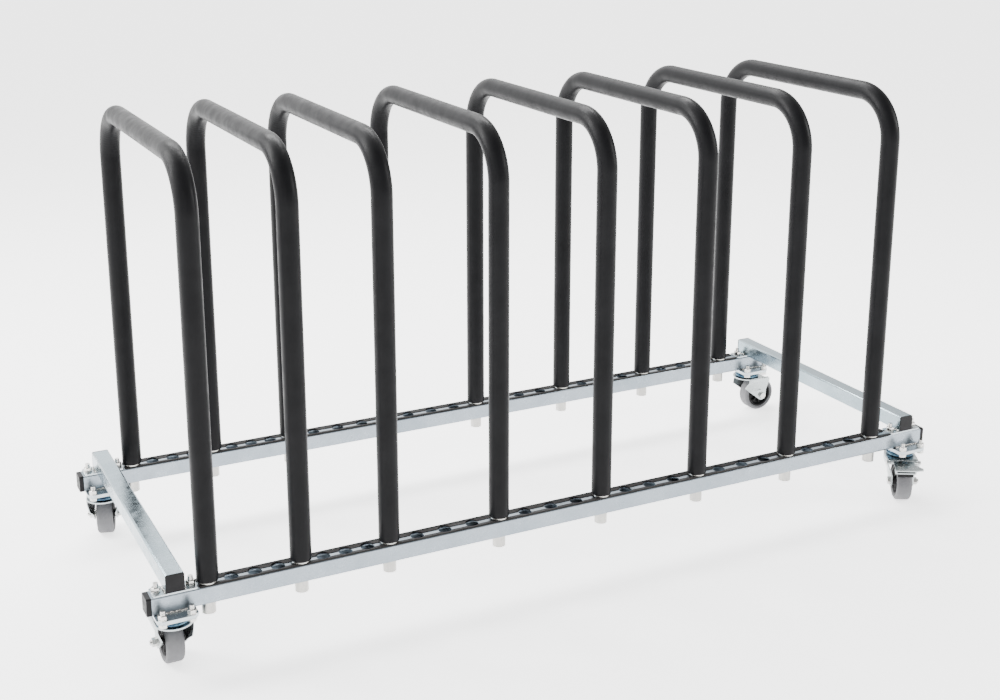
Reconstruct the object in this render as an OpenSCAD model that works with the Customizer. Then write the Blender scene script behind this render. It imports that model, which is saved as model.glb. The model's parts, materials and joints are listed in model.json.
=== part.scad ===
// Wheeled rack: two drilled square rails on swivel casters carry a row of
// lift-out hoops, each a bent steel tube in a soft black sleeve.
// Millimetres, +Z up, floor at Z = 0. X runs along the rails and -Y is the front.
// The origin is the middle of the footprint, with the wheels as they stand.

/* [Rails] */
// Length of a rail, without its end caps
rail_len = 1530; // [1480:10:1900]
// Distance between the middles of the two rails
rail_gap = 510; // [420:10:700]
// Side of the square rail and cross tube
rail_w = 30; // [28:1:40]
// Wall of the square rail and cross tube
rail_wall = 2; // [1.5:0.5:3]
// Outside corner radius of the square tube
rail_corner = 3; // [2.5:0.5:4]
// Thickness of a rail end cap outside the tube
rail_cap_t = 8; // [3:1:12]
// Thickness of a cross tube end cap
cross_cap_t = 2; // [1.5:0.5:4]
// Depth of a cap's plug in its tube
cap_plug = 14; // [8:1:20]

/* [Hoops] */
// Height of the hoop's middle line above the rail's top
hoop_rise = 670; // [400:10:900]
// Radius of the hoop's bends, to the middle of the tube
bend_r = 85; // [60:5:120]
// Outside diameter of the hoop's steel tube
tube_d = 22; // [18:1:24]
// Wall of the hoop's steel tube
tube_wall = 2; // [1:0.5:3]
// Outside diameter of the soft sleeve
sleeve_d = 35; // [30:1:38]
// Length of the spigots below the rail
spigot_len = 20; // [10:1:20]
// Diameter of the stop collar under the sleeve
collar_d = 32; // [28:1:34]
// Thickness of the stop collar
collar_t = 2; // [1.5:0.5:4]
// Radial play of the hoop's tube in the rail
hole_play = 0.5; // [0.3:0.1:0.8]
// Distance from the rail's left end to the first hoop
first_hoop = 92; // [90:1:120]
// Length of each narrow bay at the left end
narrow_bay = 153; // [140:1:165]
// Length of each full bay
full_bay = 203; // [180:1:210]

/* [Rubber strips] */
// Thickness of the rubber strip
strip_t = 3; // [2:0.5:5]
// Bare stretch of rail between the two strips
strip_apart = 10; // [8:1:14]
// How far a strip hangs over the rail's edge
strip_over = 0.8; // [0:0.1:1.5]
// Gap between a strip's end and the base plate
strip_gap = 1.5; // [1:0.5:5]

/* [Base plates] */
// Distance from the rail's end to the middle of the cross tube
cross_inset = 38; // [38:1:50]
// Length of a base plate along the rail
base_len = 72; // [70:1:76]
// Thickness of a base plate
base_t = 3; // [2:0.5:5]
// Distance between a base plate's two studs
stud_gap = 54; // [52:1:58]

/* [Fasteners] */
// Diameter of the bolts
bolt_d = 8; // [6:1:8]
// Width of a nut or bolt head across its flats
nut_af = 13; // [10:1:13]
// Height of a nut
nut_h = 6.5; // [5:0.5:8]
// Thickness of a washer
washer_t = 1.5; // [1:0.5:2]
// Length of thread that stands out of a nut
thread_out = 7; // [1:1:10]

/* [Casters] */
// Distance from the rail's end to the caster's kingpin
caster_inset = 35; // [35:1:45]
// Height of a caster, from the floor to its own plate's top
caster_h = 101; // [98:1:110]
// Size of the mounting plate along the rail
plate_len = 66; // [62:1:76]
// Size of the mounting plate across the rail
plate_wide = 78; // [77:1:110]
// Thickness of the mounting plate that is welded to the rail
mount_t = 4; // [3:1:6]
// Thickness of the caster's own top plate
top_t = 3; // [2.5:0.5:4]
// Depth of the cup that is pressed into the top plate
cup_deep = 9; // [7:0.5:10]
// Cut of the plates' corners
plate_cut = 8; // [6:1:10]
// Bolt spacing along the rail
bolt_x = 45; // [42:1:46]
// Bolt spacing across the rail
bolt_y = 62; // [60:1:63]
// Diameter of the kingpin
kingpin_d = 10; // [8:1:12]
// Diameter of the bearing balls
ball_d = 4.8; // [4:0.1:4.8]
// Radius of the fork's crown
crown_r = 31; // [29:1:32]
// Wall of the fork
fork_wall = 2.8; // [2:0.1:3]
// Radius of the fork's ends around the axle
boss_r = 11; // [9:1:11]
// Distance from the kingpin to the axle
trail = 28; // [24:1:28]

/* [Wheels] */
// Diameter of the wheel
wheel_d = 75; // [70:1:76]
// Width of the tyre
tyre_w = 30; // [24:1:32]
// Radius of the tyre's shoulders
shoulder_r = 6; // [3:0.5:7]
// Depth of the tyre over the hub
tyre_t = 8.5; // [7:0.5:12]
// Width of the hub over its boss
hub_w = 35; // [33:1:36]
// Diameter of the axle bolt
axle_d = 8; // [6:1:8]

/* [Brake] */
// Width of the brake pedal
pedal_w = 40; // [34:1:44]
// Length of the pedal's side wing
wing_len = 14; // [8:1:18]
// Turn of the pedal from off to on
brake_turn = 6; // [4:0.5:7]

/* [Hidden] */
$fn = 64;
play = 0.08;       // radial clearance of a turning fit
seat = 0.05;       // radial clearance of a fixed fit
air = 0.3;         // clearance between pieces that pass each other
narrow_bays = 2;
bays = 7;
free_holes = 3;    // open holes between two hoops
plug_wall = 2.5;
corners = ["front_left", "front_right", "rear_left", "rear_right"];
caster_parts = ["top_plate", "kingpin", "bearing_balls", "fork", "axle", "hub", "tyre"];
swing = [90, 240, 74, 0];   // where each wheel trails, from +X
braked = 1;                   // the corner with the brake

rail_z0 = caster_h + mount_t;
rail_z1 = rail_z0 + rail_w;
rail_mid = (rail_z0 + rail_z1) / 2;
base_top = rail_z1 + base_t;
hoop_top = rail_z1 + hoop_rise;
collar_z = rail_z1 + strip_t;
hole_r = tube_d / 2 + hole_play;
cross_x = rail_len / 2 - cross_inset;
caster_x = rail_len / 2 - caster_inset;
caster_y = rail_gap / 2;
strip_end = cross_x - base_len / 2 - strip_gap;
stud_r = bolt_d / 2;
stud_hole = stud_r + air;

top_under = caster_h - top_t;
ball_r = ball_d / 2;
ball_ring = kingpin_d / 2 + 14;
balls = 16;
cup_under = top_under - cup_deep;
ball_z = cup_under - seat - ball_r;
crown_z = ball_z - ball_r - air;
race_out = ball_ring + ball_r + 3;
race_in = ball_ring + ball_r + air;
axle_z = wheel_d / 2;
leg_in = hub_w / 2 + 1.7;
leg_out = leg_in + fork_wall;
crown_drop = 9;               // straight part of the fork's side below the crown
knee_z = axle_z + 13;         // where the legs turn straight down
lead_z = crown_z - 15;        // lower edge of the crown's front
brake_pin_r = 2.5;
brake_pin = [crown_r + 5.5, axle_z + wheel_d / 2 + 4];
cheek_end = brake_pin[0] + 5; // rear end of the fork's cheeks, round the brake's pin
lug_r = 4;
shoe_w = 30;
pedal_t = 2.5;
pedal_tip = [wheel_d / 2 + trail + 0.5, axle_z + 33.5];
pedal_run = norm(pedal_tip - brake_pin);
pedal_lean = atan2(pedal_tip[1] - brake_pin[1], pedal_tip[0] - brake_pin[0]);
pedal_top = lug_r - 0.5;      // the pedal's upper face, above the pin's middle
tray_start = 18;              // the shoe's tray runs from here to the pedal's end
tray_under = -5;              // the tray's lower face, from the pin's middle
wing_end = 3;                 // the wing stops this far short of the pedal's lip

function hoop_x(i) = first_hoop - rail_len / 2
    + min(i, narrow_bays) * narrow_bay + max(i - narrow_bays, 0) * full_bay;
function bay_len(b) = hoop_x(b + 1) - hoop_x(b);
hole_xs = concat(
    [for (b = [0 : bays - 1]) for (k = [0 : free_holes])
        hoop_x(b) + k * bay_len(b) / (free_holes + 1)],
    [hoop_x(bays)]);
function corner_x(c) = (c % 2 == 0 ? -1 : 1) * caster_x;
function corner_y(c) = (c < 2 ? -1 : 1) * caster_y;
// How far a wheel reaches along a direction that makes the angle a with its own plane
function wheel_reach(a) = (axle_z - shoulder_r) * abs(cos(a))
    + (tyre_w / 2 - shoulder_r) * abs(sin(a)) + shoulder_r;
wheel_xs = [for (c = [0 : 3]) for (s = [-1, 1])
    corner_x(c) + trail * cos(swing[c]) + s * wheel_reach(swing[c])];
wheel_ys = [for (c = [0 : 3]) for (s = [-1, 1])
    corner_y(c) + trail * sin(swing[c]) + s * wheel_reach(90 - swing[c])];
wing_x = brake_pin[0] + (pedal_run - wing_end) * cos(pedal_lean) - pedal_top * sin(pedal_lean);
wing_y = corner_y(braked) + wing_x * sin(swing[braked])
    + (pedal_w / 2 + wing_len) * cos(swing[braked]);
rail_reach = rail_len / 2 + rail_cap_t;
home = [-(max(concat(wheel_xs, [rail_reach])) + min(concat(wheel_xs, [-rail_reach]))) / 2,
        -(max(wheel_ys) + min(concat(wheel_ys, [wing_y]))) / 2, 0];

frame_nodes = ["front_rail", "rear_rail", "rubber_strips", "rail_end_caps",
    "left_cross_tube", "right_cross_tube", "cross_tube_end_caps", "base_plates",
    "corner_studs", "corner_nuts", "caster_mounting_plates", "caster_bolts", "caster_nuts"];

// ---- shared shapes ----

module round_square(w, r) {
    square([w, w - 2 * r], center = true);
    square([w - 2 * r, w], center = true);
    for (x = [-1, 1], y = [-1, 1]) translate([x, y] * (w / 2 - r)) circle(r);
}

module tube_outline(w, wall, r) {
    difference() {
        round_square(w, r);
        round_square(w - 2 * wall, r - wall / 2);
    }
}

// An extrusion along X that is centred on the origin
module along_x(len) rotate([90, 0, 90]) linear_extrude(len, center = true) children();

module hex_nut(af, h) {
    cone = af * 0.22;
    intersection() {
        cylinder(h = h, d = af / cos(30), $fn = 6);
        union() {
            cylinder(h = h - cone * 0.3, d = af / cos(30) + 1);
            translate([0, 0, h - cone * 0.3]) cylinder(h = cone * 0.3, d1 = af / cos(30), d2 = af * 0.95);
        }
    }
}

module nut_and_washer(bore_r) {
    difference() {
        union() {
            cylinder(h = washer_t, r = nut_af / 2 + 1);
            translate([0, 0, washer_t]) hex_nut(nut_af, nut_h);
        }
        translate([0, 0, -1]) cylinder(h = washer_t + nut_h + 2, r = bore_r);
    }
}

// A cap: a head of thickness t that faces +X from x = 0, and a hollow plug behind it
module tube_cap(t) {
    plug = rail_w - 2 * rail_wall - 2 * air;
    translate([t / 2, 0, 0]) along_x(t) round_square(rail_w, rail_corner);
    translate([-cap_plug / 2, 0, 0]) along_x(cap_plug)
        tube_outline(plug, plug_wall, rail_corner - rail_wall / 2);
}

module plate_outline(len, wide, cut) {
    polygon([
        [len / 2 - cut, -wide / 2], [len / 2, -wide / 2 + cut],
        [len / 2, wide / 2 - cut], [len / 2 - cut, wide / 2],
        [-len / 2 + cut, wide / 2], [-len / 2, wide / 2 - cut],
        [-len / 2, -wide / 2 + cut], [-len / 2 + cut, -wide / 2]]);
}

module at_plate_bolts() for (x = [-1, 1], y = [-1, 1])
    translate([x * bolt_x / 2, y * bolt_y / 2, 0]) children();

module at_corners() for (c = [0 : 3])
    translate([corner_x(c), corner_y(c), 0]) children();

module at_corner_studs() for (x = [-1, 1], y = [-1, 1], s = [-1, 1])
    translate([x * cross_x + s * stud_gap / 2, y * rail_gap / 2, 0]) children();

// ---- frame ----

module rail(y) {
    color("lightsteelblue") translate(home) difference() {
        translate([0, y, rail_mid]) along_x(rail_len) tube_outline(rail_w, rail_wall, rail_corner);
        for (x = hole_xs) translate([x, y, rail_z0 - 1]) cylinder(h = rail_w + 2, r = hole_r);
    }
}

module rubber_strips() {
    wide = (rail_w - strip_apart) / 2 + strip_over;
    round = 4;
    color("black") translate(home) translate([0, 0, rail_z1])
        for (y = [-1, 1], s = [-1, 1]) translate([0, y * rail_gap / 2, 0])
            linear_extrude(strip_t) difference() {
                translate([0, s * (strip_apart / 2 + wide / 2)]) union() {
                    square([2 * strip_end - 2 * round, wide], center = true);
                    square([2 * strip_end, wide - 2 * round], center = true);
                    for (a = [-1, 1], b = [-1, 1])
                        translate([a * (strip_end - round), b * (wide / 2 - round)]) circle(round);
                }
                for (x = hole_xs) translate([x, 0]) circle(hole_r + 0.5);
            }
}

module rail_end_caps() {
    color("dimgray") translate(home)
        for (y = [-1, 1]) for (m = [0, 1]) mirror([m, 0, 0])
            translate([rail_len / 2, y * rail_gap / 2, rail_mid]) tube_cap(rail_cap_t);
}

module cross_tube(side) {
    len = rail_gap + rail_w - 2 * cross_cap_t;
    color("lightsteelblue") translate(home)
        translate([side * cross_x, 0, base_top + rail_w / 2])
            rotate([0, 0, 90]) along_x(len) tube_outline(rail_w, rail_wall, rail_corner);
}

module cross_tube_end_caps() {
    color("black") translate(home)
        for (x = [-1, 1]) for (turn = [90, -90])
            translate([x * cross_x, 0, base_top + rail_w / 2]) rotate([0, 0, turn])
                translate([(rail_gap + rail_w) / 2 - cross_cap_t, 0, 0]) tube_cap(cross_cap_t);
}

module base_plates() {
    round = 4;
    color("gainsboro") translate(home) difference() {
        for (x = [-1, 1], y = [-1, 1])
            translate([x * cross_x, y * rail_gap / 2, rail_z1]) linear_extrude(base_t) {
                square([base_len - 2 * round, rail_w], center = true);
                square([base_len, rail_w - 2 * round], center = true);
                for (a = [-1, 1], b = [-1, 1])
                    translate([a * (base_len / 2 - round), b * (rail_w / 2 - round)]) circle(round);
            }
        translate([0, 0, rail_z1 - 1]) at_corner_studs() cylinder(h = base_t + 2, r = stud_hole);
    }
}

// The studs are welded to the rail's top face, and hold the base plate and its cross tube
module corner_studs() {
    color("silver") translate(home) translate([0, 0, rail_z1]) at_corner_studs()
        cylinder(h = base_t + washer_t + nut_h + thread_out, r = stud_r);
}

module corner_nuts() {
    color("silver") translate(home) translate([0, 0, base_top]) at_corner_studs()
        nut_and_washer(stud_r + seat);
}

module caster_mounting_plates() {
    color("gainsboro") translate(home) at_corners() translate([0, 0, caster_h])
        linear_extrude(mount_t) difference() {
            plate_outline(plate_len, plate_wide, plate_cut);
            at_plate_bolts() circle(stud_hole);
        }
}

module caster_bolts() {
    head_h = nut_h - 1;
    reach = top_t + mount_t + washer_t + nut_h + thread_out;
    color("silver") translate(home) at_corners() at_plate_bolts() translate([0, 0, top_under]) {
        mirror([0, 0, 1]) hex_nut(nut_af, head_h);
        translate([0, 0, -1]) cylinder(h = reach + 1, r = stud_r);
    }
}

module caster_nuts() {
    color("silver") translate(home) at_corners() at_plate_bolts()
        translate([0, 0, rail_z0]) nut_and_washer(stud_r + seat);
}

// ---- hoops ----

// A rod of radius r along the hoop, from height z0 on one side to z0 on the other
module hoop_run(i, r, z0) {
    knee = hoop_top - bend_r;
    straight = rail_gap / 2 - bend_r;
    translate([hoop_x(i), 0, 0]) {
        for (s = [-1, 1]) translate([0, s * rail_gap / 2, z0]) cylinder(h = knee - z0, r = r);
        for (m = [0, 1]) mirror([0, m, 0]) translate([0, straight, knee])
            rotate([90, 0, 90]) rotate_extrude(angle = 90) translate([bend_r, 0]) circle(r);
        translate([0, -straight, hoop_top]) rotate([-90, 0, 0]) cylinder(h = 2 * straight, r = r);
    }
}

module hoop_tube(i) {
    foot = rail_z0 - spigot_len;
    color("silver") translate(home) difference() {
        union() {
            hoop_run(i, tube_d / 2, foot);
            for (s = [-1, 1]) translate([hoop_x(i), s * rail_gap / 2, collar_z])
                cylinder(h = collar_t, d = collar_d);
        }
        hoop_run(i, tube_d / 2 - tube_wall, foot - 1);
    }
}

module hoop_sleeve(i) {
    color("black") translate(home) difference() {
        hoop_run(i, sleeve_d / 2, collar_z + collar_t);
        hoop_run(i, tube_d / 2 + seat, collar_z + collar_t - 1);
    }
}

// ---- casters: +X points from the kingpin to the axle, and Y runs along the axle ----

module at_caster(c) translate(home) translate([corner_x(c), corner_y(c), 0])
    rotate([0, 0, swing[c]]) children();

// A turned shape about the axle: the children's Z becomes the axle's line
module about_axle() translate([trail, 0, axle_z]) rotate([-90, 0, 0]) children();

// The top plate lies square to the rail, whichever way the fork points. A cup is pressed
// down from it, and the balls run under the cup's floor, inside the skirt.
module top_plate(c) {
    cut = plate_cut - 1;
    color("gainsboro") translate(home) translate([corner_x(c), corner_y(c), 0]) difference() {
        union() {
            translate([0, 0, top_under]) linear_extrude(top_t)
                plate_outline(plate_len - 2, plate_wide - 2, cut);
            translate([0, 0, crown_z + air]) cylinder(h = top_under - crown_z - air, r = race_out);
        }
        translate([0, 0, crown_z]) cylinder(h = cup_under - crown_z, r = race_in);
        translate([0, 0, cup_under + top_t]) cylinder(h = cup_deep + 1, r = race_out - top_t);
        translate([0, 0, crown_z]) cylinder(h = caster_h, r = kingpin_d / 2 + seat);
        translate([0, 0, top_under - 1]) at_plate_bolts() cylinder(h = top_t + 2, r = stud_hole);
    }
}

// Riveted over in the cup, with a head and a washer under the fork's crown
module kingpin(c) {
    head_z = crown_z - fork_wall - air - 5.5;
    rivet_z = cup_under + top_t;
    color("darkslategray") at_caster(c) {
        translate([0, 0, head_z]) cylinder(h = rivet_z + 1 - head_z, r = kingpin_d / 2);
        translate([0, 0, rivet_z]) cylinder(h = 2.5, r1 = 8, r2 = 6);
        translate([0, 0, head_z]) cylinder(h = 4, r1 = 6.5, r2 = 8.5);
        translate([0, 0, head_z + 4]) cylinder(h = 1.5, r = 15);
    }
}

module bearing_balls(c) {
    color("silver") at_caster(c) for (k = [0 : balls - 1])
        rotate([0, 0, k * 360 / balls]) translate([ball_ring, 0, ball_z]) sphere(ball_r);
}

module fork_section() {
    lip = 2;
    difference() {
        polygon([
            [-crown_r + lip, crown_z], [crown_r - lip, crown_z], [crown_r, crown_z - lip],
            [crown_r, crown_z - crown_drop], [leg_out, knee_z], [leg_out, 0], [-leg_out, 0],
            [-leg_out, knee_z], [-crown_r, crown_z - crown_drop], [-crown_r, crown_z - lip]]);
        polygon([
            [-crown_r + lip + 1, crown_z - fork_wall], [crown_r - lip - 1, crown_z - fork_wall],
            [crown_r - fork_wall, crown_z - fork_wall - lip + 1],
            [crown_r - fork_wall, crown_z - crown_drop - 0.5],
            [leg_in, knee_z], [leg_in, -1], [-leg_in, -1], [-leg_in, knee_z],
            [-crown_r + fork_wall, crown_z - crown_drop - 0.5],
            [-crown_r + fork_wall, crown_z - fork_wall - lip + 1]]);
    }
}

// The leg's side: its round end runs from the trailing edge to the slanted leading edge
module fork_side() {
    steps = 24;
    cheek_cut = 4;
    front = [-crown_r, lead_z];
    away = norm([trail, axle_z] - front);
    slope = atan2(axle_z - lead_z, trail + crown_r) - asin(boss_r / away);
    round_end = [for (k = [0 : steps]) let (a = (slope - 90) * k / steps)
        [trail, axle_z] + boss_r * [cos(a), sin(a)]];
    polygon(concat([[-crown_r, crown_z], [cheek_end - cheek_cut, crown_z],
        [cheek_end, crown_z - cheek_cut]], round_end, [front]));
}

module fork_plan() {
    circle(crown_r);
    translate([0, -crown_r]) square([cheek_end + 1, 2 * crown_r]);
}

// The crown stops short of the cheeks' ends, which leaves room for a brake's hinge
module fork(c) {
    gap = 2 * (crown_r - fork_wall);
    color("lightgray") at_caster(c) difference() {
        intersection() {
            rotate([90, 0, 90]) linear_extrude(200, center = true) fork_section();
            rotate([90, 0, 0]) linear_extrude(200, center = true) fork_side();
            linear_extrude(crown_z + 1) fork_plan();
        }
        translate([crown_r, -gap / 2, crown_z - 3 * fork_wall]) cube([cheek_end, gap, 4 * fork_wall]);
        translate([0, 0, crown_z - fork_wall - 1]) cylinder(h = fork_wall + 2, r = kingpin_d / 2 + play);
        about_axle() cylinder(h = 4 * leg_out, r = axle_d / 2 + seat, center = true);
        if (c == braked) translate([brake_pin[0], 0, brake_pin[1]]) rotate([90, 0, 0])
            cylinder(h = 4 * leg_out, r = brake_pin_r + seat, center = true);
    }
}

// The bolt with its head on -Y and its nut on +Y, and a spacer each side of the hub
module axle(c) {
    spacer = leg_in - hub_w / 2 - air;
    thread_end = 3;
    tip = leg_out + washer_t + nut_h + thread_end;
    color("silver") at_caster(c) about_axle() {
        translate([0, 0, -leg_out]) cylinder(h = leg_out + tip, r = axle_d / 2);
        translate([0, 0, -leg_out]) mirror([0, 0, 1]) hex_nut(nut_af, nut_h - 1);
        translate([0, 0, leg_out]) nut_and_washer(axle_d / 2 + seat);
        for (m = [0, 1]) mirror([0, 0, m]) translate([0, 0, leg_in - spacer]) difference() {
            cylinder(h = spacer, r = axle_d / 2 + 4);
            translate([0, 0, -1]) cylinder(h = spacer + 2, r = axle_d / 2 + seat);
        }
    }
}

module hub(c) {
    rim_r = wheel_d / 2 - tyre_t;
    rim_w = tyre_w - 4;
    dish = 7;
    color("black") at_caster(c) about_axle() difference() {
        union() {
            difference() {
                cylinder(h = rim_w, r = rim_r, center = true);
                for (m = [0, 1]) mirror([0, 0, m]) translate([0, 0, rim_w / 2 - dish])
                    cylinder(h = dish + 1, r1 = rim_r - 6, r2 = rim_r - 3);
            }
            cylinder(h = hub_w, r = axle_d / 2 + 5, center = true);
        }
        cylinder(h = hub_w + 2, r = axle_d / 2 + play, center = true);
    }
}

module tyre(c) {
    inner = wheel_d / 2 - tyre_t + seat;
    deep = wheel_d / 2 - shoulder_r;
    color("gray") at_caster(c) about_axle() rotate_extrude() {
        translate([inner, -tyre_w / 2]) square([deep - inner, tyre_w]);
        translate([inner, shoulder_r - tyre_w / 2])
            square([wheel_d / 2 - inner, tyre_w - 2 * shoulder_r]);
        for (s = [-1, 1]) intersection() {
            translate([deep, s * (tyre_w / 2 - shoulder_r)]) circle(shoulder_r);
            translate([inner, -tyre_w]) square([tyre_t, 2 * tyre_w]);
        }
    }
}

// ---- brake, in the plane of the wheel ----

module brake_side(wide) rotate([90, 0, 0]) linear_extrude(wide, center = true) children();

module on_pedal(from, under) translate(brake_pin) rotate(pedal_lean) translate([from, under]) children();

// The pedal's plate, and under it a tray between two cheeks, which holds the shoe
module brake_pedal() {
    lug_w = 2 * (crown_r - fork_wall) - 4;
    tray_len = pedal_run - tray_start;
    color("silver") at_caster(braked) difference() {
        union() {
            brake_side(lug_w) translate(brake_pin) circle(lug_r);
            brake_side(pedal_w) on_pedal(0, pedal_top - pedal_t) square([pedal_run, pedal_t]);
            brake_side(pedal_w) on_pedal(tray_start, tray_under) square([tray_len, pedal_t]);
            for (s = [-1, 1]) translate([0, s * (pedal_w - pedal_t) / 2, 0]) brake_side(pedal_t)
                on_pedal(tray_start, tray_under) square([tray_len, pedal_top - tray_under]);
            translate([brake_pin[0], 0, brake_pin[1]]) rotate([0, -pedal_lean, 0])
                translate([pedal_run, pedal_w / 2 - 1, pedal_top - pedal_t]) linear_extrude(pedal_t)
                    polygon([[0, 0], [-20, 0], [-8, wing_len + 1], [-wing_end, wing_len + 1]]);
        }
        brake_side(2 * lug_w) translate(brake_pin) circle(brake_pin_r + play);
    }
}

// The shoe's face fits the tyre once the pedal is down
module brake_shoe() {
    deep = 12;
    color("black") at_caster(braked) brake_side(shoe_w) difference() {
        on_pedal(tray_start, tray_under - deep) square([pedal_run - tray_start, deep]);
        translate(brake_pin) rotate(brake_turn) translate([trail, axle_z] - brake_pin)
            circle(wheel_d / 2 + air);
    }
}

module brake_pin() {
    half = crown_r + air;
    color("silver") at_caster(braked) translate([brake_pin[0], 0, brake_pin[1]]) rotate([90, 0, 0]) {
        cylinder(h = 2 * half, r = brake_pin_r, center = true);
        for (m = [0, 1]) mirror([0, 0, m]) translate([0, 0, half]) cylinder(h = 2, r = brake_pin_r + 1.5);
    }
}

// ---- nodes ----

rail(-rail_gap / 2);  // front_rail
rail(rail_gap / 2);  // rear_rail
rubber_strips();
rail_end_caps();
cross_tube(-1);  // left_cross_tube
cross_tube(1);  // right_cross_tube
cross_tube_end_caps();
base_plates();
corner_studs();
corner_nuts();
caster_mounting_plates();
caster_bolts();
caster_nuts();
for (i = [0 : bays]) {
    hoop_tube(i);
    hoop_sleeve(i);
}
for (c = [0 : 3]) {
    top_plate(c);
    kingpin(c);
    bearing_balls(c);
    fork(c);
    axle(c);
    hub(c);
    tyre(c);
}
brake_pedal();
brake_shoe();
brake_pin();
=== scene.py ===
import json
import math
import random

import bmesh
import bpy
from mathutils import Matrix, Vector


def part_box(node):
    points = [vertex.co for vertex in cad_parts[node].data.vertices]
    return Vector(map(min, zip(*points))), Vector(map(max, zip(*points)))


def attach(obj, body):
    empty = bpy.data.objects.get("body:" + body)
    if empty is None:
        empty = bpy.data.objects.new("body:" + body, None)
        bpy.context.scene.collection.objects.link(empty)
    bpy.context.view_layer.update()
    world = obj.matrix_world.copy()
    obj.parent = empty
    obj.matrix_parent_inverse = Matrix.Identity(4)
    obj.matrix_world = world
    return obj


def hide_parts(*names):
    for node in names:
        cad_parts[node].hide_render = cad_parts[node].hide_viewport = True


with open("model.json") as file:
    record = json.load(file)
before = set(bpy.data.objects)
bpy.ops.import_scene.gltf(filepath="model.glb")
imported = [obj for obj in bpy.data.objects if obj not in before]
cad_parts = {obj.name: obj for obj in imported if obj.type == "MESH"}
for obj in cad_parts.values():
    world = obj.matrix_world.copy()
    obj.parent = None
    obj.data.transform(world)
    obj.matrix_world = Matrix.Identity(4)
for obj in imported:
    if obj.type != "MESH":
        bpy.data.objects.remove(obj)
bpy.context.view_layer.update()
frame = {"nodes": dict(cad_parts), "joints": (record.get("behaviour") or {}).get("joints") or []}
nodes = frame["nodes"]

# ---- Camera ----
# A standing eye in front of the rack and to its left, looking slightly down.

eye = bpy.data.objects.new("eye", bpy.data.cameras.new("eye"))
bpy.context.scene.collection.objects.link(eye)
eye.location = (-1.1988, -2.2847, 1.2183)
eye.rotation_euler = (math.radians(75.04), 0, math.radians(-26.77))
eye.data.lens = 52.06
eye.data.sensor_width = 36
eye.data.shift_y = -0.1
bpy.context.scene.camera = eye


# ---- Rails ----
# Two square steel tubes, cold drawn, drilled through from top to bottom for the
# hoops, and then zinc plated with a faint blue tint. The drawing leaves fine lines
# along the tube, and the plating bath leaves soft clouds.

class Finish:
    """A material with its shader at hand, and short ways to feed that shader."""

    def __init__(self, name, colour, metal=0.0, rough=0.5, specular=0.5):
        self.material = bpy.data.materials.new(name)
        self.material.use_nodes = True
        self.tree = self.material.node_tree
        self.shader = self.tree.nodes["Principled BSDF"]
        self.shader.inputs["Base Color"].default_value = (*colour, 1)
        self.shader.inputs["Metallic"].default_value = metal
        self.shader.inputs["Roughness"].default_value = rough
        self.shader.inputs["Specular IOR Level"].default_value = specular
        self.place = self.tree.nodes.new("ShaderNodeTexCoord").outputs["Object"]
        self.height = None

    def noise(self, stretch, scale, detail=4.0, roughness=0.55, place=None):
        """Noise of that many lumps a metre, stretched along the axes; gives its grey output."""
        mapping = self.tree.nodes.new("ShaderNodeMapping")
        mapping.inputs["Scale"].default_value = stretch
        self.tree.links.new(place or self.place, mapping.inputs["Vector"])
        texture = self.tree.nodes.new("ShaderNodeTexNoise")
        texture.inputs["Scale"].default_value = scale
        texture.inputs["Detail"].default_value = detail
        texture.inputs["Roughness"].default_value = roughness
        self.tree.links.new(mapping.outputs["Vector"], texture.inputs["Vector"])
        return texture.outputs["Fac"]

    def flakes(self, scale, stretch=(1, 1, 1)):
        """Crystal flakes of that many a metre, each with its own grey."""
        mapping = self.tree.nodes.new("ShaderNodeMapping")
        mapping.inputs["Scale"].default_value = stretch
        self.tree.links.new(self.place, mapping.inputs["Vector"])
        texture = self.tree.nodes.new("ShaderNodeTexVoronoi")
        texture.inputs["Scale"].default_value = scale
        self.tree.links.new(mapping.outputs["Vector"], texture.inputs["Vector"])
        grey = self.tree.nodes.new("ShaderNodeSeparateColor")
        self.tree.links.new(texture.outputs["Color"], grey.inputs["Color"])
        return grey.outputs["Red"]

    def ramp(self, grey, stops):
        """Colours along a grey value: a list of (place from 0 to 1, colour)."""
        ramp = self.tree.nodes.new("ShaderNodeValToRGB")
        points = ramp.color_ramp.elements
        while len(points) < len(stops):
            points.new(0.5)
        for point, (at, colour) in zip(points, stops):
            point.position = at
            point.color = (*colour, 1)
        self.tree.links.new(grey, ramp.inputs["Fac"])
        return ramp.outputs["Color"]

    def spread(self, grey, low, high, start=0.3, end=0.7):
        """The grey value from start to end, as a number from low to high."""
        spread = self.tree.nodes.new("ShaderNodeMapRange")
        for socket, value in (("From Min", start), ("From Max", end), ("To Min", low), ("To Max", high)):
            spread.inputs[socket].default_value = value
        self.tree.links.new(grey, spread.inputs["Value"])
        return spread.outputs["Result"]

    def mix(self, share, first, second):
        """The first colour, turning into the second as share goes from 0 to 1."""
        mix = self.tree.nodes.new("ShaderNodeMix")
        mix.data_type = "RGBA"
        self.tree.links.new(share, mix.inputs["Factor"])
        self.tree.links.new(first, mix.inputs["A"])
        self.tree.links.new(second, mix.inputs["B"])
        return mix.outputs["Result"]

    def colour(self, source):
        self.tree.links.new(source, self.shader.inputs["Base Color"])

    def rough(self, source):
        self.tree.links.new(source, self.shader.inputs["Roughness"])

    def bump(self, grey, depth, strength=1.0):
        """Raises the surface by depth metres where grey is 1; bumps add up."""
        bump = self.tree.nodes.new("ShaderNodeBump")
        bump.inputs["Distance"].default_value = depth
        bump.inputs["Strength"].default_value = strength
        self.tree.links.new(grey, bump.inputs["Height"])
        if self.height:
            self.tree.links.new(self.height, bump.inputs["Normal"])
        self.height = bump.outputs["Normal"]
        self.tree.links.new(self.height, self.shader.inputs["Normal"])


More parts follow.
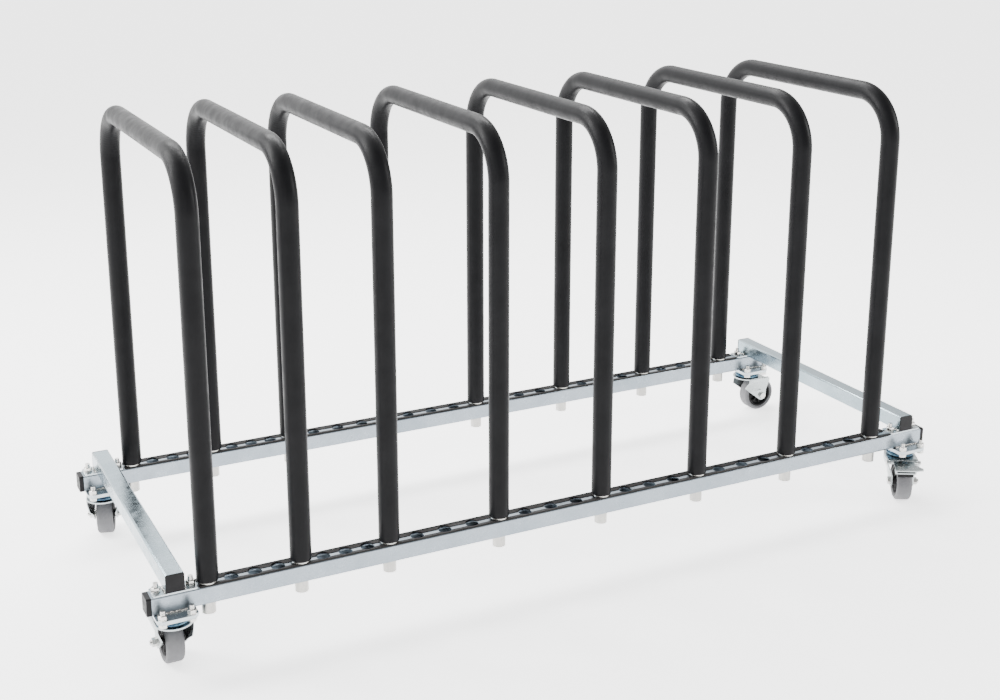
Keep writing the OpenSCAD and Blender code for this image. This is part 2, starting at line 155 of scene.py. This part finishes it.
def zinc_plating(name, light, dark, rough, drawn=(1, 1, 1)):
    """Bright zinc: clouds of two tones, fine flakes, and lines drawn across the stretched axes."""
    zinc = Finish(name, light, metal=1.0, rough=rough)
    clouds = zinc.noise((1, 1, 1), 14, detail=5)
    flakes = zinc.flakes(700)
    tone = zinc.ramp(clouds, [(0.32, dark), (0.68, light)])
    spark = zinc.ramp(flakes, [(0.0, [c * 0.93 for c in dark]), (1.0, [min(1, c * 1.05) for c in light])])
    zinc.colour(zinc.mix(zinc.spread(clouds, 0.25, 0.5), tone, spark))
    zinc.rough(zinc.spread(zinc.noise((1, 1, 1), 55, detail=3), rough - 0.06, rough + 0.09))
    zinc.bump(zinc.noise(drawn, 900, detail=2), 0.00004, 0.5)
    zinc.bump(zinc.noise((1, 1, 1), 40, detail=2), 0.0003, 0.25)
    return zinc.material


def wear_finish(material, names):
    """Gives the material to CAD nodes, in place of the materials that they had."""
    for name in names:
        piece = nodes[name]
        piece.data.materials.clear()
        piece.data.materials.append(material)


touching = 0.00001
flat_angle = 0.5


def soften(names, width, steps=2, angle=32):
    """Rounds the sharp edges of pieces, as drawing, pressing or moulding leaves them."""
    for name in names:
        piece = nodes.get(name) or bpy.data.objects[name]
        weld = piece.modifiers.new("merge", "WELD")
        weld.merge_threshold = touching
        flat = piece.modifiers.new("flats", "DECIMATE")
        flat.decimate_type = "DISSOLVE"
        flat.angle_limit = math.radians(flat_angle)
        edge = piece.modifiers.new("edges", "BEVEL")
        edge.width = width
        edge.segments = steps
        edge.limit_method = "ANGLE"
        edge.angle_limit = math.radians(angle)


rail_zinc = zinc_plating("rail_zinc", (0.30, 0.335, 0.37), (0.22, 0.26, 0.295), 0.30, (0.02, 1, 1))
wear_finish(rail_zinc, ["front_rail", "rear_rail"])
soften(["front_rail", "rear_rail"], 0.0004)


# ---- Rail end caps ----
# Black polyethylene caps, moulded with a fine grain and pushed into the rails' ends
# until the head meets the tube.

def moulded_plastic(name, colour, rough):
    """Moulded plastic: a fine spark-eroded grain, with the gloss broken up by handling."""
    plastic = Finish(name, colour, rough=rough, specular=0.16)
    plastic.colour(plastic.ramp(plastic.noise((1, 1, 1), 60), [
        (0.3, [c * 0.8 for c in colour]), (0.7, [c * 1.35 for c in colour])]))
    plastic.rough(plastic.spread(plastic.noise((1, 1, 1), 120), rough - 0.08, rough + 0.12))
    plastic.bump(plastic.noise((1, 1, 1), 2200, detail=2), 0.00006, 0.6)
    return plastic.material


cap_plastic = moulded_plastic("cap_plastic", (0.0062, 0.0060, 0.0068), 0.48)
wear_finish(cap_plastic, ["rail_end_caps"])
soften(["rail_end_caps"], 0.0012, steps=3)

# ---- Caster mounting plates ----
# Laser-cut steel plates with clipped corners, welded under the rails' ends and
# plated with them.

plate_zinc = zinc_plating("plate_zinc", (0.50, 0.54, 0.56), (0.34, 0.39, 0.42), 0.26)
wear_finish(plate_zinc, ["caster_mounting_plates"])
soften(["caster_mounting_plates"], 0.0005)

# The sizes that the welded, bolted and turned pieces share with the plates: the
# rail's own box and the four corners, where each caster's kingpin stands.
corners = ["front_left", "front_right", "rear_left", "rear_right"]
rail_low, rail_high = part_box("front_rail")
rail_side = rail_high.z - rail_low.z


def middle(node):
    low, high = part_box(node)
    return (low + high) / 2


kingpin = {corner: middle(corner + "_kingpin") for corner in corners}

# ---- Weld beads ----
# Short fillet welds that hold each rail to its mounting plate and each cross tube to
# its base plate. They were laid by hand before plating, so every drop differs a
# little, and the plating leaves them bright and sparkling.

weld_zinc = zinc_plating("weld_zinc", (0.72, 0.70, 0.66), (0.10, 0.10, 0.095), 0.10)


def named_tree(name, inputs):
    """A Geometry Nodes tree with those named inputs, each a (name, socket type, value)."""
    tree = bpy.data.node_groups.new(name, "GeometryNodeTree")
    tree.interface.new_socket("Geometry", in_out="INPUT", socket_type="NodeSocketGeometry")
    for title, kind, value in inputs:
        tree.interface.new_socket(title, in_out="INPUT", socket_type=kind).default_value = value
    tree.interface.new_socket("Geometry", in_out="OUTPUT", socket_type="NodeSocketGeometry")
    return tree, tree.nodes.new("NodeGroupInput").outputs


def close_tree(tree, geometry, material):
    """Ends a tree: its instances are made real and take the material."""
    real = tree.nodes.new("GeometryNodeRealizeInstances")
    finish = tree.nodes.new("GeometryNodeSetMaterial")
    finish.inputs["Material"].default_value = material
    out = tree.nodes.new("NodeGroupOutput")
    tree.links.new(geometry, real.inputs["Geometry"])
    tree.links.new(real.outputs["Geometry"], finish.inputs["Geometry"])
    tree.links.new(finish.outputs["Geometry"], out.inputs["Geometry"])


def grown(name, tree, material, points=(), **values):
    """The plain mesh that the tree makes from those points, as a new object."""
    seed = bpy.data.meshes.new(name + "_seed")
    seed.from_pydata([tuple(p) for p in points], [], [])
    maker = bpy.data.objects.new(name + "_seed", seed)
    bpy.context.scene.collection.objects.link(maker)
    modifier = maker.modifiers.new("grow", "NODES")
    modifier.node_group = tree
    for item in tree.interface.items_tree:
        if item.in_out == "INPUT" and item.name in values:
            modifier[item.identifier] = values[item.name]
    bpy.context.view_layer.update()
    made = maker.evaluated_get(bpy.context.evaluated_depsgraph_get())
    mesh = bpy.data.meshes.new_from_object(made)
    mesh.name = name
    maker.modifiers.remove(modifier)
    bpy.data.objects.remove(maker)
    mesh.materials.clear()
    mesh.materials.append(material)
    piece = bpy.data.objects.new(name, mesh)
    bpy.context.scene.collection.objects.link(piece)
    return piece


def weld_tree():
    """Overlapping drops on the given points, each turned and sized at random."""
    tree, given = named_tree("weld_bead", [
        ("Drop", "NodeSocketFloat", 0.002), ("Wander", "NodeSocketFloat", 0.0004),
        ("Seed", "NodeSocketInt", 3)])
    nodes_of, link = tree.nodes, tree.links.new
    drift = nodes_of.new("FunctionNodeRandomValue")
    drift.data_type = "FLOAT_VECTOR"
    drift.inputs["Min"].default_value = (-1, -1, -1)
    drift.inputs["Max"].default_value = (1, 1, 1)
    link(given["Seed"], drift.inputs["Seed"])
    scaled = nodes_of.new("ShaderNodeVectorMath")
    scaled.operation = "SCALE"
    link(drift.outputs["Value"], scaled.inputs[0])
    link(given["Wander"], scaled.inputs["Scale"])
    shifted = nodes_of.new("GeometryNodeSetPosition")
    link(given["Geometry"], shifted.inputs["Geometry"])
    link(scaled.outputs["Vector"], shifted.inputs["Offset"])
    drop = nodes_of.new("GeometryNodeMeshIcoSphere")
    drop.inputs["Subdivisions"].default_value = 3
    link(given["Drop"], drop.inputs["Radius"])
    turn = nodes_of.new("FunctionNodeRandomValue")
    turn.data_type = "FLOAT_VECTOR"
    turn.inputs["Max"].default_value = (6.3, 6.3, 6.3)
    size = nodes_of.new("FunctionNodeRandomValue")
    size.data_type = "FLOAT_VECTOR"
    size.inputs["Min"].default_value = (0.7, 0.6, 0.65)
    size.inputs["Max"].default_value = (1.2, 1.0, 1.1)
    link(given["Seed"], turn.inputs["Seed"])
    link(given["Seed"], size.inputs["Seed"])
    placed = nodes_of.new("GeometryNodeInstanceOnPoints")
    link(shifted.outputs["Geometry"], placed.inputs["Points"])
    link(drop.outputs["Mesh"], placed.inputs["Instance"])
    link(turn.outputs["Value"], placed.inputs["Rotation"])
    link(size.outputs["Value"], placed.inputs["Scale"])
    close_tree(tree, placed.outputs["Instances"], weld_zinc)
    return tree


drop_pitch = 0.0016


def bead_points(start, end):
    """Points a drop's pitch apart along the seam from start to end."""
    start, end = Vector(start), Vector(end)
    count = round((end - start).length / drop_pitch)
    return [start.lerp(end, k / count) for k in range(count + 1)]


weld_bead = weld_tree()
plate_seam, base_seam = 0.026, 0.012
seam_out, seam_up = 0.0006, 0.0009
for number, corner in enumerate(corners):
    pin = kingpin[corner]
    points = []
    for side in (-1, 1):
        y = pin.y + side * (rail_side / 2 + seam_out)
        points += bead_points((pin.x - plate_seam, y, rail_low.z + seam_up),
                              (pin.x + plate_seam, y, rail_low.z + seam_up))
    bead = grown(corner + "_plate_weld", weld_bead, weld_zinc, points,
                 Drop=0.0021, Wander=0.0006, Seed=number)
    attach(bead, "frame")

base_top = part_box("base_plates")[1].z
for number, corner in enumerate(corners):
    pin = kingpin[corner]
    low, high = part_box("left_cross_tube" if corner.endswith("left") else "right_cross_tube")
    points = []
    for x in (low.x - seam_out, high.x + seam_out):
        points += bead_points((x, pin.y - base_seam, base_top + seam_up),
                              (x, pin.y + base_seam, base_top + seam_up))
    bead = grown(corner + "_base_weld", weld_bead, weld_zinc, points,
                 Drop=0.0019, Wander=0.0006, Seed=number + 7)
    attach(bead, "frame")

# ---- Casters: top plates, kingpins and races ----
# Pressed plates that the kingpin is riveted into, over a ring of balls. The race's
# skirt is blued steel, rolled with two beads, and it keeps the grit out.

caster_zinc = zinc_plating("caster_zinc", (0.48, 0.52, 0.53), (0.33, 0.37, 0.39), 0.28)
wear_finish(caster_zinc, [corner + "_top_plate" for corner in corners])
soften([corner + "_top_plate" for corner in corners], 0.0005)


def blued_steel():
    """Oil-blackened steel: a deep blue that turns teal where the oxide is thin."""
    steel = Finish("blued_steel", (0.05, 0.09, 0.14), metal=1.0, rough=0.28)
    steel.colour(steel.ramp(steel.noise((1, 1, 1), 120), [
        (0.3, (0.035, 0.055, 0.095)), (0.55, (0.07, 0.13, 0.18)), (0.75, (0.14, 0.22, 0.27))]))
    steel.rough(steel.spread(steel.noise((1, 1, 1), 300), 0.18, 0.4))
    return steel.material


blued = blued_steel()
wear_finish(blued, [corner + "_kingpin" for corner in corners])
soften([corner + "_kingpin" for corner in corners], 0.0004)
ball_steel = Finish("ball_steel", (0.8, 0.8, 0.8), metal=1.0, rough=0.12)
ball_steel.rough(ball_steel.spread(ball_steel.noise((1, 1, 1), 500), 0.06, 0.2))
wear_finish(ball_steel.material, [corner + "_bearing_balls" for corner in corners])


def turned(name, outline, at, axis, steps=72):
    """A closed outline of (radius, distance along the axis), turned about the axis at that place."""
    mesh = bpy.data.meshes.new(name)
    shape = bmesh.new()
    rings = []
    to_axis = Vector(axis).to_track_quat("Z", "Y").to_matrix()
    for step in range(steps):
        turn = 2 * math.pi * step / steps
        ring = []
        for r, h in outline:
            spot = Vector((r * math.cos(turn), r * math.sin(turn), h))
            ring.append(shape.verts.new(Vector(at) + to_axis @ spot))
        rings.append(ring)
    for step in range(steps):
        here, there = rings[step], rings[(step + 1) % steps]
        for k in range(len(outline)):
            after = (k + 1) % len(outline)
            shape.faces.new((here[k], there[k], there[after], here[after]))
    bmesh.ops.recalc_face_normals(shape, faces=shape.faces)
    for face in shape.faces:
        face.smooth = True
    shape.to_mesh(mesh)
    shape.free()
    piece = bpy.data.objects.new(name, mesh)
    bpy.context.scene.collection.objects.link(piece)
    return piece


def arc(middle_at, radius, start, end, steps):
    """Points of an arc in an outline, from one angle to the other, in degrees."""
    return [(middle_at[0] + radius * math.cos(math.radians(start + (end - start) * k / steps)),
             middle_at[1] + radius * math.sin(math.radians(start + (end - start) * k / steps)))
            for k in range(steps + 1)]


skirt_inner, skirt_lift, skirt_tall = 0.0245, 0.0004, 0.0132
bead_r, bead_in, bead_reach = skirt_tall / 4, 0.0008, 75
for corner in corners:
    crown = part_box(corner + "_fork")[1].z
    outline = [(skirt_inner, skirt_lift)]
    for rise in (bead_r, 3 * bead_r):
        outline += arc((skirt_inner - bead_in, skirt_lift + rise), bead_r, -bead_reach, bead_reach, 10)
    outline += [(skirt_inner, skirt_lift + skirt_tall)]
    pin = kingpin[corner]
    skirt = turned(corner + "_race_skirt", outline, (pin.x, pin.y, crown), (0, 0, 1))
    skirt.data.materials.append(blued)
    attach(skirt, "frame")

# ---- Casters: forks and axles ----
# The fork is one blank, pressed into a crown with two legs, so its edges are round
# and its faces carry faint press marks. The axle is a bolt with a nut.

fork_zinc = zinc_plating("fork_zinc", (0.48, 0.51, 0.51), (0.33, 0.36, 0.37), 0.27, (1, 1, 0.05))
wear_finish(fork_zinc, [corner + "_fork" for corner in corners])
soften([corner + "_fork" for corner in corners], 0.0007)
bolt_zinc = zinc_plating("bolt_zinc", (0.70, 0.69, 0.66), (0.40, 0.40, 0.39), 0.17)
wear_finish(bolt_zinc, [corner + "_axle" for corner in corners])
soften([corner + "_axle" for corner in corners], 0.0003)

# ---- Casters: wheels ----
# A grey non-marking tyre is moulded onto a black hub, with a fine parting line round
# the tread and a step where the rubber meets the hub. Each face of the hub is dished
# and carries webs.

rubber = Finish("tyre_rubber", (0.13, 0.13, 0.137), rough=0.55, specular=0.25)
rubber.colour(rubber.mix(
    rubber.spread(rubber.noise((1, 1, 1), 25, detail=5), 0.0, 1.0, 0.35, 0.65),
    rubber.ramp(rubber.noise((1, 1, 1), 300), [(0.3, (0.11, 0.11, 0.116)), (0.7, (0.135, 0.135, 0.142))]),
    rubber.ramp(rubber.noise((1, 1, 1), 90), [(0.3, (0.14, 0.14, 0.146)), (0.7, (0.16, 0.16, 0.165))])))
rubber.rough(rubber.spread(rubber.noise((1, 1, 1), 70), 0.52, 0.74))
rubber.bump(rubber.noise((1, 1, 1), 1500, detail=3), 0.00008, 0.5)
tyre_rubber = rubber.material
hub_plastic = moulded_plastic("hub_plastic", (0.006, 0.006, 0.0065), 0.42)
wear_finish(hub_plastic, [corner + "_hub" for corner in corners])
soften([corner + "_hub" for corner in corners], 0.0006)

wheel_joint = {j["child"]: j for j in frame["joints"] if j["name"].endswith("_wheel_roll")}
wheel_r, tyre_half, tyre_in, shoulder = 0.0375, 0.015, 0.02905, 0.006
rubber_step, parting_line = 0.0022, 0.00012


def tyre_outline():
    """The tyre's closed outline: crowned tread, round shoulders and a step to the hub."""
    tread = wheel_r - 0.00015
    half = [(tyre_in, tyre_half - rubber_step), (tyre_in + 0.0018, tyre_half - rubber_step),
            (tyre_in + 0.0024, tyre_half - 0.0004)]
    half += arc((wheel_r - shoulder, tyre_half - shoulder), shoulder, 90, 4, 14)[1:]
    half += [(tread, tyre_half - shoulder - 0.001), (tread, 0.0006), (tread + parting_line, 0.0002)]
    return half + [(r, -h) for r, h in reversed(half)]


def web_tree():
    """Flat webs, one on each given point, that look away from the middle."""
    tree, given = named_tree("hub_webs", [("Size", "NodeSocketVector", (0.012, 0.0018, 0.005))])
    link = tree.links.new
    web = tree.nodes.new("GeometryNodeMeshCube")
    link(given["Size"], web.inputs["Size"])
    where = tree.nodes.new("GeometryNodeInputPosition")
    flat = tree.nodes.new("ShaderNodeVectorMath")
    flat.operation = "MULTIPLY"
    flat.inputs[1].default_value = (1, 1, 0)
    link(where.outputs["Position"], flat.inputs[0])
    turn = tree.nodes.new("FunctionNodeAlignRotationToVector")
    turn.axis = "X"
    link(flat.outputs["Vector"], turn.inputs["Vector"])
    placed = tree.nodes.new("GeometryNodeInstanceOnPoints")
    link(given["Geometry"], placed.inputs["Points"])
    link(web.outputs["Mesh"], placed.inputs["Instance"])
    link(turn.outputs["Rotation"], placed.inputs["Rotation"])
    close_tree(tree, placed.outputs["Instances"], hub_plastic)
    return tree


hub_webs = web_tree()
web_count, web_ring, web_depth = 8, 0.0150, 0.0088
for corner in corners:
    wheel = corner + "_wheel"
    at, axis = wheel_joint[wheel]["pos_m"], wheel_joint[wheel]["axis"]
    tyre = turned(corner + "_soft_tyre", tyre_outline(), at, axis, steps=96)
    tyre.data.materials.append(tyre_rubber)
    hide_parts(corner + "_tyre")
    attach(tyre, wheel)
    points = []
    for k in range(web_count):
        turn = 2 * math.pi * k / web_count
        for side in (-1, 1):
            points.append((web_ring * math.cos(turn), web_ring * math.sin(turn), side * web_depth))
    webs = grown(corner + "_hub_webs", hub_webs, hub_plastic, points)
    webs.data.transform(Matrix.Translation(at) @ Vector(axis).to_track_quat("Z", "Y").to_matrix().to_4x4())
    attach(webs, wheel)

# ---- Caster bolts and nuts ----
# Hex bolts come up through both plates at each corner, and the nuts sit on top. The
# ends of the threads show above the nuts, as do those of the studs beside the tubes.

fasteners = ["caster_bolts", "caster_nuts", "corner_studs", "corner_nuts", "brake_pin"]
wear_finish(bolt_zinc, fasteners)
soften(fasteners, 0.0003)


def thread_tree():
    """A short helix of thread on each given point, standing up."""
    tree, given = named_tree("thread_ends", [
        ("Radius", "NodeSocketFloat", 0.0038), ("Height", "NodeSocketFloat", 0.0062),
        ("Turns", "NodeSocketFloat", 5.0)])
    link = tree.links.new
    helix = tree.nodes.new("GeometryNodeCurveSpiral")
    helix.inputs["Resolution"].default_value = 20
    for socket, value in (("Start Radius", "Radius"), ("End Radius", "Radius"),
                          ("Height", "Height"), ("Rotations", "Turns")):
        link(given[value], helix.inputs[socket])
    crest = tree.nodes.new("GeometryNodeCurvePrimitiveCircle")
    crest.inputs["Resolution"].default_value = 4
    crest.inputs["Radius"].default_value = 0.0004
    tube = tree.nodes.new("GeometryNodeCurveToMesh")
    tube.inputs["Fill Caps"].default_value = True
    link(helix.outputs["Curve"], tube.inputs["Curve"])
    link(crest.outputs["Curve"], tube.inputs["Profile Curve"])
    placed = tree.nodes.new("GeometryNodeInstanceOnPoints")
    link(given["Geometry"], placed.inputs["Points"])
    link(tube.outputs["Mesh"], placed.inputs["Instance"])
    close_tree(tree, placed.outputs["Instances"], bolt_zinc)
    return tree


thread_ends = thread_tree()
thread_out = 0.0068
plate_bolt_x, plate_bolt_y, corner_stud = 0.0225, 0.031, 0.027
caster_top, stud_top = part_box("caster_bolts")[1].z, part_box("corner_studs")[1].z
cross_x = {corner: middle("left_cross_tube" if corner.endswith("left") else "right_cross_tube").x
           for corner in corners}
points = [(pin.x + i * plate_bolt_x, pin.y + j * plate_bolt_y, caster_top - thread_out)
          for pin in kingpin.values() for i in (-1, 1) for j in (-1, 1)]
points += [(cross_x[corner] + i * corner_stud, kingpin[corner].y, stud_top - thread_out)
           for corner in corners for i in (-1, 1)]
threads = grown("bolt_threads", thread_ends, bolt_zinc, points, Radius=0.0038, Height=0.0062, Turns=5.0)
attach(threads, "frame")

# ---- Brake ----
# A pressed pedal on a pin, over the front right wheel. The black rubber shoe under it
# bites on the tread, and the pedal has a wing to lift it by.

wear_finish(fork_zinc, ["brake_pedal"])
soften(["brake_pedal"], 0.0005)
shoe_rubber = moulded_plastic("shoe_rubber", (0.006, 0.006, 0.0065), 0.6)
wear_finish(shoe_rubber, ["brake_shoe"])
soften(["brake_shoe"], 0.0006)

# ---- Rubber strips ----
# Two bands of black rubber are glued along each rail's top, cut back round the holes,
# so that what stands there neither slips nor gets scratched. Each is extruded as a
# wedge, thick at the rail's edge and thin beside the holes.

strip = Finish("strip_rubber", (0.009, 0.0082, 0.0084), rough=0.55, specular=0.14)
strip.colour(strip.ramp(strip.noise((1, 1, 1), 45, detail=6), [
    (0.3, (0.0065, 0.006, 0.0062)), (0.7, (0.013, 0.0118, 0.012))]))
strip.rough(strip.spread(strip.noise((0.1, 1, 1), 140), 0.45, 0.7))
strip.bump(strip.noise((0.02, 1, 1), 900, detail=2), 0.0001, 0.5)
strip.bump(strip.noise((1, 1, 1), 1600, detail=2), 0.00005, 0.5)


def wedge_strips(name, thin):
    """The strips with their tops sloped down to the thin edge beside the holes."""
    low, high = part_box("rubber_strips")
    rails_y = [middle("front_rail").y, middle("rear_rail").y]
    shape = bmesh.new()
    shape.from_mesh(nodes["rubber_strips"].data)
    bmesh.ops.remove_doubles(shape, verts=shape.verts, dist=touching)
    outs = {spot: min(abs(spot.co.y - y) for y in rails_y) for spot in shape.verts}
    inner, outer = min(outs.values()), max(outs.values())
    for spot, out in outs.items():
        if spot.co.z > (low.z + high.z) / 2:
            spot.co.z = low.z + thin + (high.z - low.z - thin) * (out - inner) / (outer - inner)
    mesh = bpy.data.meshes.new(name)
    shape.to_mesh(mesh)
    shape.free()
    piece = bpy.data.objects.new(name, mesh)
    bpy.context.scene.collection.objects.link(piece)
    piece.data.materials.append(strip.material)
    return piece


wedges = wedge_strips("wedge_strips", thin=0.0008)
soften(["wedge_strips"], 0.0003)
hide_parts("rubber_strips")
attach(wedges, "frame")

# ---- Cross tubes and base plates ----
# Two square tubes lie across the rails' ends, each welded to two base plates, which
# the studs and nuts hold down. Flush black caps close the tubes.

cross_zinc = zinc_plating("cross_zinc", (0.32, 0.385, 0.42), (0.23, 0.295, 0.33), 0.22, (1, 0.02, 1))
wear_finish(cross_zinc, ["left_cross_tube", "right_cross_tube"])
soften(["left_cross_tube", "right_cross_tube"], 0.0004)
wear_finish(plate_zinc, ["base_plates"])
soften(["base_plates"], 0.0005)
wear_finish(cap_plastic, ["cross_tube_end_caps"])
soften(["cross_tube_end_caps"], 0.0008)

# ---- Hoops ----
# Steel tube, bent cold to a U, with a stop collar welded near each end. A black foam
# rubber sleeve is pulled over it before the collars go on. The foam creases finely on
# the inside of the bends, and its skin has faint rub marks.

spigot_zinc = zinc_plating("spigot_zinc", (0.52, 0.51, 0.48), (0.38, 0.37, 0.35), 0.34, (1, 1, 0.03))
hoops = range(1, 9)
wear_finish(spigot_zinc, [f"hoop_tube_{n}" for n in hoops])

foam = Finish("sleeve_foam", (0.004, 0.004, 0.005), rough=0.34, specular=0.09)
foam.colour(foam.ramp(foam.noise((1, 1, 1), 18, detail=5), [
    (0.3, (0.003, 0.003, 0.0036)), (0.7, (0.0058, 0.0058, 0.0066))]))
foam.rough(foam.spread(foam.noise((1, 1, 1), 45, detail=4), 0.32, 0.48))
foam.bump(foam.noise((1, 1, 1), 1300, detail=3), 0.00005, 0.5)
foam.bump(foam.noise((1, 1, 1), 25, detail=2), 0.0006, 0.2)
sleeve_foam = foam.material

sleeve_r, bend_r, skin_in, end_round = 0.0175, 0.085, 0.01105, 0.0018
crease_pitch, crease_depth, skin_swell = 0.0062, 0.00028, 0.00012
leg_step, bend_steps, top_steps, swells, sides = 0.02, 70, 16, 80, 40


def hoop_path(low_z, knee_z, half_gap):
    """Stations along a hoop: (y, z, direction's y and z, share of a bend, length so far)."""
    found = []
    straight = knee_z - low_z
    across = 2 * (half_gap - bend_r)
    quarter = math.pi / 2 * bend_r
    total = 2 * straight + 2 * quarter + across
    near_end = [0, 0.0006, 0.0012, 0.0018, 0.004, 0.01]
    leg = near_end + [k * leg_step for k in range(1, int((straight - near_end[-1]) / leg_step))]
    bend = [straight + quarter * k / bend_steps for k in range(bend_steps + 1)]
    top = [straight + quarter + across * k / top_steps for k in range(1, top_steps // 2 + 1)]
    half = sorted(set(leg + bend + top))
    run = half + [total - s for s in reversed(half[:-1])]
    for s in run:
        mirror = s > total / 2
        t = total - s if mirror else s
        if t <= straight:
            y, z, dy, dz, bent = -half_gap, low_z + t, 0.0, 1.0, 0.0
        elif t <= straight + quarter:
            a = (t - straight) / bend_r
            y = -half_gap + bend_r * (1 - math.cos(a))
            z = knee_z + bend_r * math.sin(a)
            dy, dz = math.sin(a), math.cos(a)
            bent = math.sin(2 * a) ** 0.5 if 0 < a < math.pi / 2 else 0.0
        else:
            y, z = -half_gap + bend_r + (t - straight - quarter), knee_z + bend_r
            dy, dz, bent = 1.0, 0.0, 0.0
        if mirror:
            y, dz = -y, -dz
        found.append((y, z, dy, dz, bent, s))
    return found, total


def sleeve(name, x, middle_y, low_z, knee_z, half_gap, seed):
    """One foam sleeve: an outer skin with creased bends, round ends and a bore."""
    wander = random.Random(seed)
    swell = [wander.uniform(0.3, 1.0) for _ in range(swells)]
    shape = bmesh.new()
    path, total = hoop_path(low_z, knee_z, half_gap)
    outer, inner = [], []
    for y, z, dy, dz, bent, s in path:
        end = min(s, total - s)
        drop = 0.0 if end >= end_round else end_round - math.sqrt(
            max(0.0, end_round ** 2 - (end_round - end) ** 2))
        place = Vector((x, middle_y + y, z))
        side_of = Vector((0, dz, -dy))
        k = s / total * (len(swell) - 1)
        here = swell[int(k)] * (1 - k % 1) + swell[min(int(k) + 1, len(swell) - 1)] * (k % 1)
        loop, bore = [], []
        for step in range(sides):
            turn = 2 * math.pi * step / sides
            inward = max(0.0, math.sin(turn)) if bent else 0.0
            ripple = 1 + math.sin(2 * math.pi * s / crease_pitch + 2 * here)
            crease = bent * inward ** 2 * crease_depth * ripple
            r = sleeve_r - drop - crease * here - skin_swell * (1 - here)
            out = Vector((math.cos(turn), 0, 0)) + side_of * math.sin(turn)
            loop.append(shape.verts.new(place + out * r))
            bore.append(shape.verts.new(place + out * skin_in))
        outer.append(loop)
        inner.append(bore)
    for skin in (outer, inner):
        for first, second in zip(skin, skin[1:]):
            for step in range(sides):
                after = (step + 1) % sides
                shape.faces.new((first[step], first[after], second[after], second[step]))
    for end in (0, -1):
        for step in range(sides):
            after = (step + 1) % sides
            shape.faces.new((outer[end][step], outer[end][after], inner[end][after], inner[end][step]))
    bmesh.ops.recalc_face_normals(shape, faces=shape.faces)
    for face in shape.faces:
        face.smooth = True
    mesh = bpy.data.meshes.new(name)
    shape.to_mesh(mesh)
    shape.free()
    piece = bpy.data.objects.new(name, mesh)
    bpy.context.scene.collection.objects.link(piece)
    piece.data.materials.append(sleeve_foam)
    return piece


for n in hoops:
    low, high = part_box(f"hoop_sleeve_{n}")
    knee_z, half_gap = high.z - sleeve_r - bend_r, (high.y - low.y) / 2 - sleeve_r
    skin = sleeve(f"hoop_{n}_foam", (low.x + high.x) / 2, (low.y + high.y) / 2,
                  low.z, knee_z, half_gap, seed=n)
    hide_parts(f"hoop_sleeve_{n}")
    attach(skin, f"hoop_{n}")

# ---- Floor and light ----
# A pale studio floor under soft white light from above and from both sides. The
# room is brightest behind the rack and to its left.

floor_mesh = bpy.data.meshes.new("floor")
floor_size, floor_z = 14, -0.0002
floor_mesh.from_pydata(
    [(x, y, floor_z) for x, y in ((-floor_size, -floor_size), (floor_size, -floor_size),
                                  (floor_size, floor_size), (-floor_size, floor_size))],
    [], [(0, 1, 2, 3)])
floor = bpy.data.objects.new("floor", floor_mesh)
bpy.context.scene.collection.objects.link(floor)
floor_finish = Finish("floor_finish", (0.9, 0.9, 0.9), rough=0.9, specular=0.1)
floor_finish.shader.inputs["Emission Color"].default_value = (1, 1, 1, 1)
floor_finish.shader.inputs["Emission Strength"].default_value = 1.9
floor.data.materials.append(floor_finish.material)

world = bpy.data.worlds.new("studio")
world.use_nodes = True
room = world.node_tree
facing = room.nodes.new("ShaderNodeVectorMath")
facing.operation = "DOT_PRODUCT"
bright_way = (-0.8, 1, 0)
facing.inputs[1].default_value = bright_way
brightness = room.nodes.new("ShaderNodeMapRange")
room_dim, room_bright = 0.8, 3.4
for socket, value in (("From Min", -0.1), ("From Max", 0.7), ("To Min", room_dim), ("To Max", room_bright)):
    brightness.inputs[socket].default_value = value
room.links.new(room.nodes.new("ShaderNodeTexCoord").outputs["Generated"], facing.inputs[0])
room.links.new(facing.outputs["Value"], brightness.inputs["Value"])
room.links.new(brightness.outputs["Result"], room.nodes["Background"].inputs["Strength"])
room.nodes["Background"].inputs["Color"].default_value = (1, 1, 1, 1)
bpy.context.scene.world = world


def softbox(name, place, aim, width, height, power):
    """A rectangular soft light at place that shines at aim."""
    lamp = bpy.data.objects.new(name, bpy.data.lights.new(name, "AREA"))
    lamp.data.shape = "RECTANGLE"
    lamp.data.size = width
    lamp.data.size_y = height
    lamp.data.energy = power
    lamp.location = place
    lamp.rotation_euler = (Vector(aim) - Vector(place)).to_track_quat("-Z", "Y").to_euler()
    bpy.context.scene.collection.objects.link(lamp)


softbox("left_box", (-2.6, 1.4, 2.4), (0, 0, 0.6), 1.0, 2.4, 160)
softbox("top_box", (0.2, 1.6, 2.8), (0, 0, 0.6), 2.6, 0.7, 120)
softbox("front_box", (-2.0, -2.6, 1.4), (0, 0, 0.4), 0.7, 1.8, 10)
softbox("right_box", (2.9, -1.5, 1.7), (0, 0, 0.6), 0.9, 1.6, 60)
